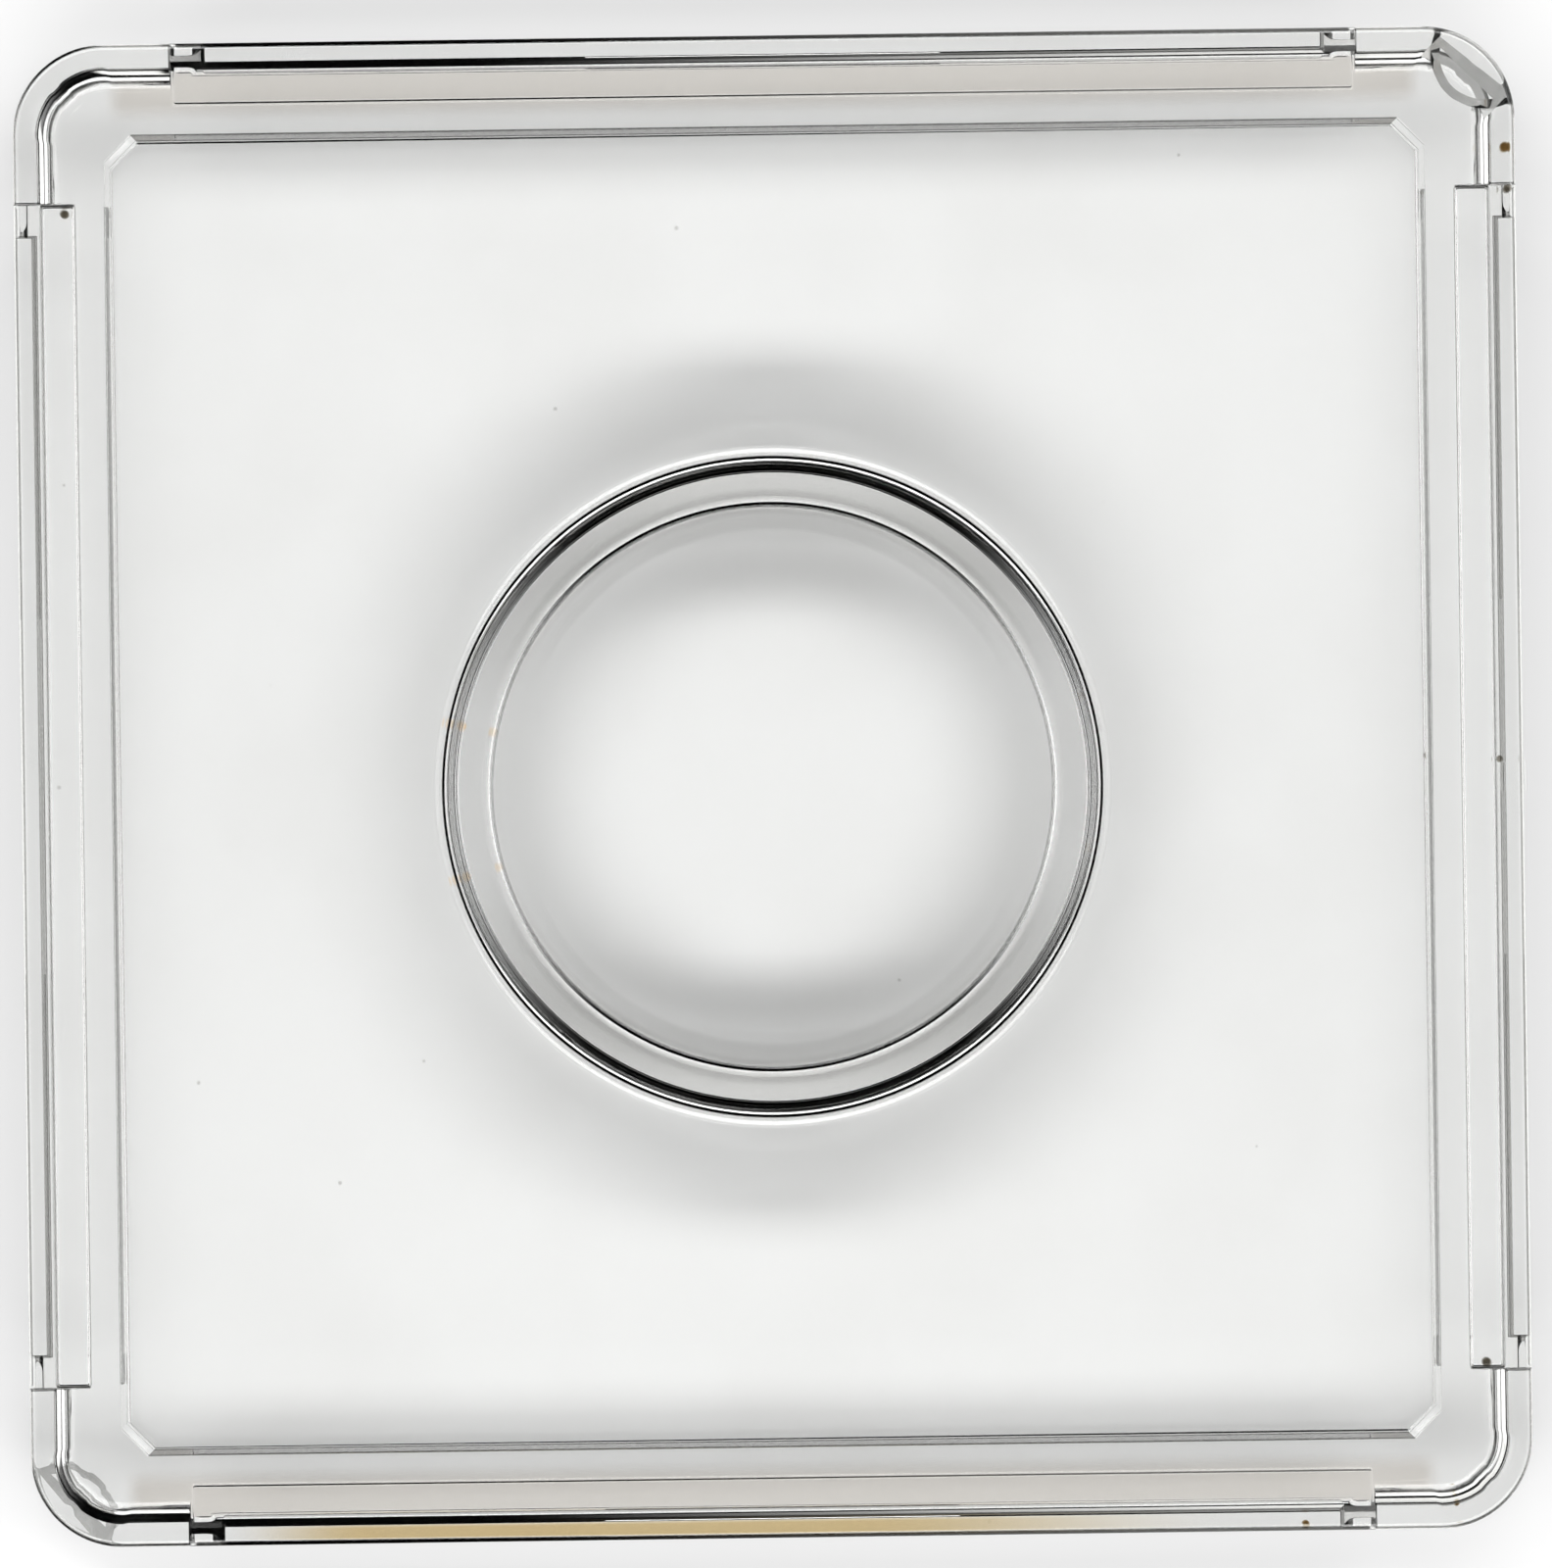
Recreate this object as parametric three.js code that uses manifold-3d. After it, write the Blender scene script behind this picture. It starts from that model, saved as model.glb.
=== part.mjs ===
// Snap-lock coin holder: two clear moulded halves that close round one coin.
// Millimetres, +Z up. The closed holder lies flat on its rear face, centred on the Z axis.
// Each half is drawn as an open tray: its outer face down at z = 0, its walls rising. The ring
// round the coin is moulded in one with the tray. It is a solid of its own, flush on the tray's
// seat, so that the well inside it stays a plain ring's hole.
import * as THREE from 'three';
import Module from 'manifold-3d';
import { mergeVertices } from 'three/addons/utils/BufferGeometryUtils.js';

// The closed holder
const SIDE = 50.8;
const THICKNESS = 4.8;
const CORNER_RADIUS = 3.1;
const EDGE_ROUND = 0.2; // round along the outer edge of each face

// Each face: a plate with a sunk square panel on its outside
const PLATE = 1.3;
const PANEL_INSET = 3.1; // outer edge to the panel
const PANEL_DEPTH = 0.3;
const PANEL_SLOPE = 0.04; // width of the steep step round the panel
const PANEL_CORNER = 0.9; // 45 degree corner of the panel

// The corner walls, which meet those of the other half
const WALL = 0.8;
const WALL_FILLET = 0.8; // round at the foot of the walls, inside
const DRAFT = 0.03; // lean of the moulded walls, as a slope

// The coin and the well that holds it
const COIN_DIAMETER = 19.05;
const COIN_THICKNESS = 1.52;
const COIN_PLAY = 0.1; // across the well
const COIN_SHAKE = 0.08; // through the thickness
const RING_WALL = 1.2;
const RING_FILLET = 0.8; // round at the foot of the ring, outside
const RING_LEAD = 0.25; // slope that guides the coin in
const RING_PARTING = 0.06; // between the faces of the two rings

// The windows in the four side walls, and the tabs and rails that stand in them
const WINDOW_LENGTH = 40.1;
const TAB_LENGTH = 38;
const TAB_THICKNESS = 0.68;
const TAB_END_GAP = 0.1; // tab tip to the other half's plate
const TAB_LEAD = 0.15;
const RAIL_GAP = 0.27; // tab to the rail behind it
const RAIL_THICKNESS = 1.05;
const RAIL_RISE = 0.7; // above the parting plane
const RAIL_LEAD = 0.15;

// The low ridges that snap past each other, on the tabs and on the rails
const RIDGE_LENGTH = 12;
const RIDGE_HEIGHT = 0.11;
const RIDGE_WIDTH = 0.36;
const RIDGE_FROM_TIP = 0.35; // tab tip to the middle of its ridge
const RIDGE_PLAY = 0.04; // between the two ridges when closed

// The pry notch, on one corner of each half
const NOTCH_RADIUS = 1.8;
const NOTCH_INSET = 1; // outer edges to the middle of the notch
const NOTCH_SINK = 0.2; // depth into the plate

// The stub left where the moulding was cut from its runner
const GATE_WIDTH = 1;
const GATE_HEIGHT = 0.8;
const GATE_PROUD = 0.1;

// Fineness of the round shapes
const RING_STEPS = 96;
const CORNER_STEPS = 8;
const FILLET_STEPS = 4;
const NOTCH_STEPS = 32;

const EMBED = 0.25; // how far a joined shape reaches into what carries it
const OVERCUT = 1; // how far a cutting shape reaches past what it cuts
const MERGE_DISTANCE = 1e-4;

// Sizes that follow from the ones above
const EDGE = SIDE / 2;
const PARTING = THICKNESS / 2;
const WELL_RADIUS = (COIN_DIAMETER + COIN_PLAY) / 2;
const WELL_FLOOR = PARTING - (COIN_THICKNESS + COIN_SHAKE) / 2;
const RING_RADIUS = WELL_RADIUS + RING_WALL;
const RING_TOP = PARTING - RING_PARTING / 2;
const RING_ROUND = Math.min(RING_FILLET, RING_TOP - PLATE);
const SEAT_RISE = WELL_FLOOR - PLATE;
const WALL_ROUND = Math.min(WALL_FILLET, PARTING - PLATE);
const TAB_TIP = THICKNESS - PLATE - TAB_END_GAP;
const RAIL_SET = TAB_THICKNESS + RAIL_GAP; // outer edge to the rail
const RAIL_TOP = PARTING + RAIL_RISE;
const TAB_RIDGE = TAB_TIP - RIDGE_FROM_TIP;
const RAIL_RIDGE = THICKNESS - TAB_RIDGE + RIDGE_WIDTH + RIDGE_PLAY;

const HALF_TURN = Math.PI;
const QUARTER_TURN = Math.PI / 2;

const wasm = await Module();
wasm.setup();

// Geometry helpers

/** The points of an arc round (x, y), from one angle to another. */
function arc(x, y, radius, from, to, steps) {
  return Array.from({ length: steps + 1 }, (_, i) => {
    const angle = from + ((to - from) * i) / steps;
    return [x + radius * Math.cos(angle), y + radius * Math.sin(angle)];
  });
}

/** A square with round corners, anticlockwise. */
function roundedSquare(half, radius) {
  const centre = half - radius;
  const corners = [[1, 1], [-1, 1], [-1, -1], [1, -1]];
  return corners.flatMap(([sx, sy], i) =>
    arc(sx * centre, sy * centre, radius, i * QUARTER_TURN, (i + 1) * QUARTER_TURN, CORNER_STEPS));
}

/** A square with 45 degree corners, anticlockwise. */
function chamferedSquare(half, corner) {
  const near = half - corner;
  return [
    [half, -near], [half, near], [near, half], [-near, half],
    [-half, near], [-half, -near], [-near, -half], [near, -half],
  ];
}

/** A rectangle, anticlockwise. */
function rectangle(x0, x1, y0, y1) {
  return [[x0, y0], [x1, y0], [x1, y1], [x0, y1]];
}

/** A closed solid through convex outlines stacked upwards, all with the same number of points. */
function loft(sections) {
  const count = sections[0].outline.length;
  const positions = sections.flatMap(({ z, outline }) => outline.flatMap(([x, y]) => [x, y, z]));
  const index = [];
  for (let level = 0; level + 1 < sections.length; level += 1) {
    const low = level * count;
    const high = low + count;
    for (let i = 0; i < count; i += 1) {
      const next = (i + 1) % count;
      index.push(low + i, low + next, high + next, low + i, high + next, high + i);
    }
  }
  const last = (sections.length - 1) * count;
  for (let i = 1; i + 1 < count; i += 1) {
    index.push(0, i + 1, i, last, last + i, last + i + 1);
  }
  const geometry = new THREE.BufferGeometry();
  geometry.setAttribute('position', new THREE.Float32BufferAttribute(positions, 3));
  geometry.setIndex(index);
  return geometry;
}

/** A closed solid of revolution about Z, from a profile of [radius, z] points. */
function revolve(profile, steps) {
  const points = profile.map(([radius, z]) => new THREE.Vector2(radius, z));
  return new THREE.LatheGeometry(points, steps).rotateX(QUARTER_TURN);
}

/** A closed geometry as a solid that can be joined and cut. */
function solid(geometry) {
  const plain = geometry.clone();
  plain.deleteAttribute('normal');
  plain.deleteAttribute('uv');
  const merged = mergeVertices(plain, MERGE_DISTANCE);
  const corners = merged.index.array;
  const triangles = [];
  for (let i = 0; i < corners.length; i += 3) {
    const [a, b, c] = [corners[i], corners[i + 1], corners[i + 2]];
    if (a !== b && b !== c && c !== a) triangles.push(a, b, c);
  }
  return new wasm.Manifold(new wasm.Mesh({
    numProp: 3,
    vertProperties: merged.attributes.position.array,
    triVerts: new Uint32Array(triangles),
  }));
}

/** A solid as a geometry with one flat normal to a face. */
function faceted(body) {
  const { vertProperties, triVerts } = body.getMesh();
  const shared = new THREE.BufferGeometry();
  shared.setAttribute('position', new THREE.BufferAttribute(new Float32Array(vertProperties), 3));
  shared.setIndex(new THREE.BufferAttribute(new Uint32Array(triVerts), 1));
  const geometry = shared.toNonIndexed();
  geometry.computeVertexNormals();
  return geometry;
}

/** The geometry as a solid, with a copy of it on the opposite side of the holder. */
function onOppositeSides(geometry) {
  return solid(geometry).add(solid(geometry.clone().rotateZ(HALF_TURN)));
}

// The shapes of one half

/** The block that the tray is cut from, with its outer edge rounded. */
function block() {
  const round = arc(EDGE - EDGE_ROUND, EDGE_ROUND, EDGE_ROUND, -QUARTER_TURN, 0, FILLET_STEPS);
  const sections = round.map(([half, z]) => {
    const inset = EDGE - half;
    return { z, outline: roundedSquare(half, CORNER_RADIUS - inset) };
  });
  return loft([...sections, { z: PARTING, outline: roundedSquare(EDGE, CORNER_RADIUS) }]);
}

/** The hollow inside the walls, down to the plate, with a round at its foot. */
function hollow() {
  const foot = arc(
    WALL + WALL_ROUND, PLATE + WALL_ROUND, WALL_ROUND,
    -QUARTER_TURN, -HALF_TURN, FILLET_STEPS,
  );
  const mouth = PARTING + OVERCUT;
  const rise = mouth - PLATE - WALL_ROUND;
  const insets = [...foot, [WALL - DRAFT * rise, mouth]];
  return loft(insets.map(([inset, z]) => (
    { z, outline: roundedSquare(EDGE - inset, CORNER_RADIUS - inset) }
  )));
}

/** The sunk panel on the outside of the plate. */
function panel() {
  const half = EDGE - PANEL_INSET;
  const widening = PANEL_SLOPE / PANEL_DEPTH;
  return loft([
    { z: -OVERCUT, outline: chamferedSquare(half + widening * OVERCUT, PANEL_CORNER) },
    { z: PANEL_DEPTH, outline: chamferedSquare(half - PANEL_SLOPE, PANEL_CORNER) },
  ]);
}

/** The window cut in the wall on the +X side, above the plate. */
function windowCut() {
  const inner = EDGE - WALL - WALL_FILLET;
  const outline = rectangle(inner, EDGE + OVERCUT, -WINDOW_LENGTH / 2, WINDOW_LENGTH / 2);
  return loft([{ z: PLATE, outline }, { z: PARTING + OVERCUT, outline }]);
}

/** The round at the foot of the ring, as [radius, z] points between two heights over the plate. */
function ringFoot(low, high) {
  const angle = (rise) => -HALF_TURN + Math.asin((RING_ROUND - rise) / RING_ROUND);
  return arc(
    RING_RADIUS + RING_ROUND, PLATE + RING_ROUND, RING_ROUND,
    angle(low), angle(high), FILLET_STEPS,
  );
}

/** The seat of the coin: the thickened floor that the ring stands on. */
function seat() {
  return revolve([
    [0, PLATE - EMBED],
    [RING_RADIUS + RING_ROUND, PLATE - EMBED],
    ...ringFoot(0, SEAT_RISE),
    [0, WELL_FLOOR],
  ], RING_STEPS);
}

/** The ring round the coin, from the seat up. */
function coinRing() {
  const outsideRise = RING_TOP - PLATE - RING_ROUND;
  const insideRise = RING_TOP - RING_LEAD - WELL_FLOOR;
  return revolve([
    [WELL_RADIUS, WELL_FLOOR],
    ...ringFoot(SEAT_RISE, RING_ROUND),
    [RING_RADIUS - DRAFT * outsideRise, RING_TOP],
    [WELL_RADIUS + RING_LEAD, RING_TOP],
    [WELL_RADIUS + DRAFT * insideRise, RING_TOP - RING_LEAD],
    [WELL_RADIUS, WELL_FLOOR],
  ], RING_STEPS);
}

/** The thin tab in the +Y window. It reaches past the parting plane, over the other half's rail. */
function tab() {
  const section = (z, lead = 0) => {
    const lean = DRAFT * (TAB_TIP - z);
    const half = TAB_LENGTH / 2 + lean - DRAFT * TAB_TIP;
    return { z, outline: rectangle(-half, half, EDGE - TAB_THICKNESS - lean + lead, EDGE) };
  };
  return loft([section(PLATE - EMBED), section(TAB_TIP - TAB_LEAD), section(TAB_TIP, TAB_LEAD)]);
}

/** The thick rail in the +X window, which the other half's tab closes over. */
function rail() {
  const section = (z, lead = 0) => {
    const lean = DRAFT * (z - PLATE);
    const outer = EDGE - RAIL_SET - lean - lead;
    const inner = EDGE - RAIL_SET - RAIL_THICKNESS + lean;
    const half = WINDOW_LENGTH / 2 - lean;
    return { z, outline: rectangle(inner, outer, -half, half) };
  };
  return loft([section(PLATE - EMBED), section(RAIL_TOP - RAIL_LEAD), section(RAIL_TOP, RAIL_LEAD)]);
}

/** A low rounded ridge along Y, with its back on the plane x = 0 and its crown towards +X. */
function ridge() {
  const half = RIDGE_WIDTH / 2;
  const radius = (half * half + RIDGE_HEIGHT * RIDGE_HEIGHT) / (2 * RIDGE_HEIGHT);
  const spread = Math.asin(half / radius);
  const crown = arc(0, RIDGE_HEIGHT - radius, radius, QUARTER_TURN - spread, QUARTER_TURN + spread, FILLET_STEPS);
  const outline = [[-half, -EMBED], [half, -EMBED], ...crown];
  const shape = new THREE.Shape(outline.map(([x, y]) => new THREE.Vector2(x, y)));
  const geometry = new THREE.ExtrudeGeometry(shape, { depth: RIDGE_LENGTH, bevelEnabled: false });
  geometry.translate(0, 0, -RIDGE_LENGTH / 2);
  const turn = new THREE.Matrix4().makeBasis(
    new THREE.Vector3(0, 0, 1), new THREE.Vector3(1, 0, 0), new THREE.Vector3(0, 1, 0),
  );
  return geometry.applyMatrix4(turn);
}

/** The ridge on the outside of the +X rail. */
function railRidge() {
  return ridge().translate(EDGE - RAIL_SET - DRAFT * (RAIL_RIDGE - PLATE), 0, RAIL_RIDGE);
}

/** The ridge on the inside of the +Y tab. */
function tabRidge() {
  return ridge()
    .rotateZ(-QUARTER_TURN)
    .translate(0, EDGE - TAB_THICKNESS - DRAFT * RIDGE_FROM_TIP, TAB_RIDGE);
}

/** The pry notch in the corner towards +X and +Y. */
function notch() {
  const middle = EDGE - NOTCH_INSET;
  const floor = PLATE - NOTCH_SINK;
  const height = PARTING + OVERCUT - floor;
  return new THREE.CylinderGeometry(NOTCH_RADIUS, NOTCH_RADIUS, height, NOTCH_STEPS)
    .rotateX(QUARTER_TURN)
    .translate(middle, middle, floor + height / 2);
}

/** The stub of the gate, on the edge of the plate at the given turn from +X. */
function gate(turn) {
  return new THREE.BoxGeometry(GATE_PROUD + EMBED, GATE_WIDTH, GATE_HEIGHT)
    .translate(EDGE + (GATE_PROUD - EMBED) / 2, 0, EDGE_ROUND + GATE_HEIGHT / 2)
    .rotateZ(turn);
}

/** One half as an open tray, with its notch and its gate at the given turns. */
function tray(notchTurn, gateTurn) {
  const windows = onOppositeSides(windowCut())
    .add(onOppositeSides(windowCut().rotateZ(QUARTER_TURN)));
  const body = solid(block())
    .subtract(solid(hollow()))
    .subtract(windows)
    .add(solid(seat()))
    .add(onOppositeSides(tab()))
    .add(onOppositeSides(rail()))
    .add(onOppositeSides(tabRidge()))
    .add(onOppositeSides(railRidge()))
    .subtract(solid(panel()))
    .subtract(solid(notch().rotateZ(notchTurn)))
    .add(solid(gate(gateTurn)));
  return faceted(body);
}

// The two halves, each a tray and its coin ring

const clearPlastic = {
  color: new THREE.Color(0.93, 0.94, 0.93),
  roughness: 0.06,
  metalness: 0,
  transparent: true,
  opacity: 0.35,
};

/** One half: its tray, and the coin ring that stands on the tray's seat. */
function half(name, notchTurn, gateTurn) {
  const group = new THREE.Group();
  const pieces = { tray: tray(notchTurn, gateTurn), coin_ring: faceted(solid(coinRing())) };
  for (const [piece, geometry] of Object.entries(pieces)) {
    const mesh = new THREE.Mesh(geometry, new THREE.MeshStandardMaterial(clearPlastic));
    mesh.name = `${name}_${piece}`;
    group.add(mesh);
  }
  return group;
}

/** The rear half lies as drawn, turned so that its tabs are on the left and right sides. */
function rearHalf() {
  const group = half('rear', QUARTER_TURN, -QUARTER_TURN);
  group.rotation.z = QUARTER_TURN;
  return group;
}

/** The front half lies face up on the rear half, with its tabs on the top and bottom sides. */
function frontHalf() {
  const group = half('front', -QUARTER_TURN, 0);
  group.rotation.x = HALF_TURN;
  group.position.z = THICKNESS;
  return group;
}

const holder = new THREE.Group();
holder.name = 'snap_lock_coin_holder';
holder.add(rearHalf(), frontHalf());

export default holder;
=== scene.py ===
"""A snap-lock coin holder: two clear moulded halves, closed on each other, lying on a pale floor.

Each half is rebuilt at its true size with the fine rounds that a mould leaves on its edges, because in
clear plastic it is the rounds that show. Sizes are in millimetres until a mesh is finished.
"""

import logging
import math
from dataclasses import dataclass, field
from enum import Enum

import bmesh
import bpy
from mathutils import Matrix, Vector


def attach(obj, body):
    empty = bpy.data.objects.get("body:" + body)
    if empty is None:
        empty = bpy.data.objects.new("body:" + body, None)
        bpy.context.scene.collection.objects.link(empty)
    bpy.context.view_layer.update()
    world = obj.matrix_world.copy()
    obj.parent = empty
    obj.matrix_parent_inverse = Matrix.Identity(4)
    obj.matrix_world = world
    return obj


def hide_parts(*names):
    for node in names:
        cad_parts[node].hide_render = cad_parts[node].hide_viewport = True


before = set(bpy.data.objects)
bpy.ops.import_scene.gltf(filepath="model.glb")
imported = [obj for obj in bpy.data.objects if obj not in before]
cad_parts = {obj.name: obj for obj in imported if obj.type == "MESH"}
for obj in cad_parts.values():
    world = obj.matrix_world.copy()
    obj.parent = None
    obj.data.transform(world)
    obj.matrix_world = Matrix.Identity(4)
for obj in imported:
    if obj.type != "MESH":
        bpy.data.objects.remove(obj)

log = logging.getLogger("coin_holder")

MILLIMETRE = 0.001
QUARTER_TURN = math.pi / 2
SMOOTH_ANGLE = math.radians(26)
FLAT_ANGLE = math.radians(0.2)
MERGE_DISTANCE = 1e-4
LIGHT_BOUNCES = 24
CLEAR_BOUNCES = 16
FIRST_COLOUR, SECOND_COLOUR = 6, 7  # the colour sockets of a Mix node
ONE_REFLECTION = 0.5, 1.5  # between these lies the depth of a ray that was reflected once

Span = tuple[float, float]
Colour = tuple[float, float, float, float]
Point = tuple[float, float]
Level = tuple[float, list[Point]]


class Half(Enum):
    """The two halves, by the CAD body that each one rides on."""

    REAR = "rear"
    FRONT = "front"


class Facing(Enum):
    """The kinds of surface on a half, by the place of their material on it."""

    FACE = 0
    EDGE = 1
    RING = 2


def arc(x: float, y: float, radius: float, start: float, end: float, steps: int) -> list[Point]:
    """Points along an arc.

    Args:
        x: centre.
        y: centre.
        radius: of the arc.
        start: first angle, in radians.
        end: last angle, in radians.
        steps: straight pieces in the arc.

    Returns:
        The points, ends included.
    """
    angles = [start + (end - start) * i / steps for i in range(steps + 1)]
    return [(x + radius * math.cos(a), y + radius * math.sin(a)) for a in angles]


def rounded_rectangle(half_x: float, half_y: float, radius: float, steps: int) -> list[Point]:
    """A rectangle about the origin with round corners.

    Args:
        half_x: half its length along X.
        half_y: half its length along Y.
        radius: of its corners.
        steps: straight pieces in each corner.

    Returns:
        Its points, anticlockwise.
    """
    signs = [(1, 1), (-1, 1), (-1, -1), (1, -1)]
    points: list[Point] = []
    for turn, (sx, sy) in enumerate(signs):
        centre = sx * (half_x - radius), sy * (half_y - radius)
        points += arc(*centre, radius, turn * QUARTER_TURN, (turn + 1) * QUARTER_TURN, steps)
    return points


def cut_corner_square(half: float, corner: float) -> list[Point]:
    """A square about the origin with 45 degree corners.

    Args:
        half: half its side.
        corner: what each corner takes off a side.

    Returns:
        Its points, anticlockwise.
    """
    near = half - corner
    return [
        (half, -near), (half, near), (near, half), (-near, half),
        (-half, near), (-half, -near), (-near, -half), (near, -half),
    ]


def moved(points: list[Point], dx: float, dy: float) -> list[Point]:
    """The points, moved."""
    return [(x + dx, y + dy) for x, y in points]


class Casting:
    """A closed solid in millimetres that can be joined to others and cut by them."""

    def __init__(self, mesh: bpy.types.Mesh) -> None:
        """Takes a closed mesh.

        Args:
            mesh: the mesh, whose faces point outwards.
        """
        self.thing = bpy.data.objects.new("casting", mesh)
        bpy.context.scene.collection.objects.link(self.thing)

    @classmethod
    def loft(cls, levels: list[Level]) -> "Casting":
        """A solid through outlines stacked upwards.

        Args:
            levels: the height and the outline of each level, all with as many points.

        Returns:
            The solid.
        """
        shape = bmesh.new()
        rings = [[shape.verts.new((x, y, z)) for x, y in outline] for z, outline in levels]
        count = len(rings[0])
        for low, high in zip(rings, rings[1:]):
            for i in range(count):
                j = (i + 1) % count
                shape.faces.new((low[i], low[j], high[j], high[i]))
        shape.faces.new(list(reversed(rings[0])))
        shape.faces.new(rings[-1])
        mesh = bpy.data.meshes.new("loft")
        shape.to_mesh(mesh)
        shape.free()
        return cls(mesh)

    def place(self, matrix: Matrix) -> "Casting":
        """This solid, moved by a matrix."""
        self.thing.data.transform(matrix)
        return self

    def copy(self) -> "Casting":
        """A solid like this one."""
        return Casting(self.thing.data.copy())

    def combine(self, operation: str, other: "Casting") -> "Casting":
        """Joins the other solid to this one, or takes it away, and uses the other one up.

        Args:
            operation: UNION or DIFFERENCE.
            other: the other solid.

        Returns:
            This solid.
        """
        boolean = self.thing.modifiers.new("boolean", "BOOLEAN")
        boolean.operation = operation
        boolean.solver = "MANIFOLD"
        boolean.object = other.thing
        self.thing.data = settled(self.thing)
        self.thing.modifiers.clear()
        bpy.data.objects.remove(other.thing)
        return self

    def add(self, *others: "Casting") -> "Casting":
        """This solid with the others joined to it."""
        for other in others:
            self.combine("UNION", other)
        return self

    def cut(self, *others: "Casting") -> "Casting":
        """This solid with the others taken away from it."""
        for other in others:
            self.combine("DIFFERENCE", other)
        return self


def settled(thing: bpy.types.Object) -> bpy.types.Mesh:
    """The object's mesh with its modifiers applied, as a mesh of its own."""
    evaluated = thing.evaluated_get(bpy.context.evaluated_depsgraph_get())
    return bpy.data.meshes.new_from_object(evaluated)


def turn(angle: float) -> Matrix:
    """A turn about Z, in radians."""
    return Matrix.Rotation(angle, 4, "Z")


def pair(casting: Casting) -> list[Casting]:
    """The solid and its copy on the opposite side of the holder."""
    return [casting, casting.copy().place(turn(math.pi))]


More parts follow.
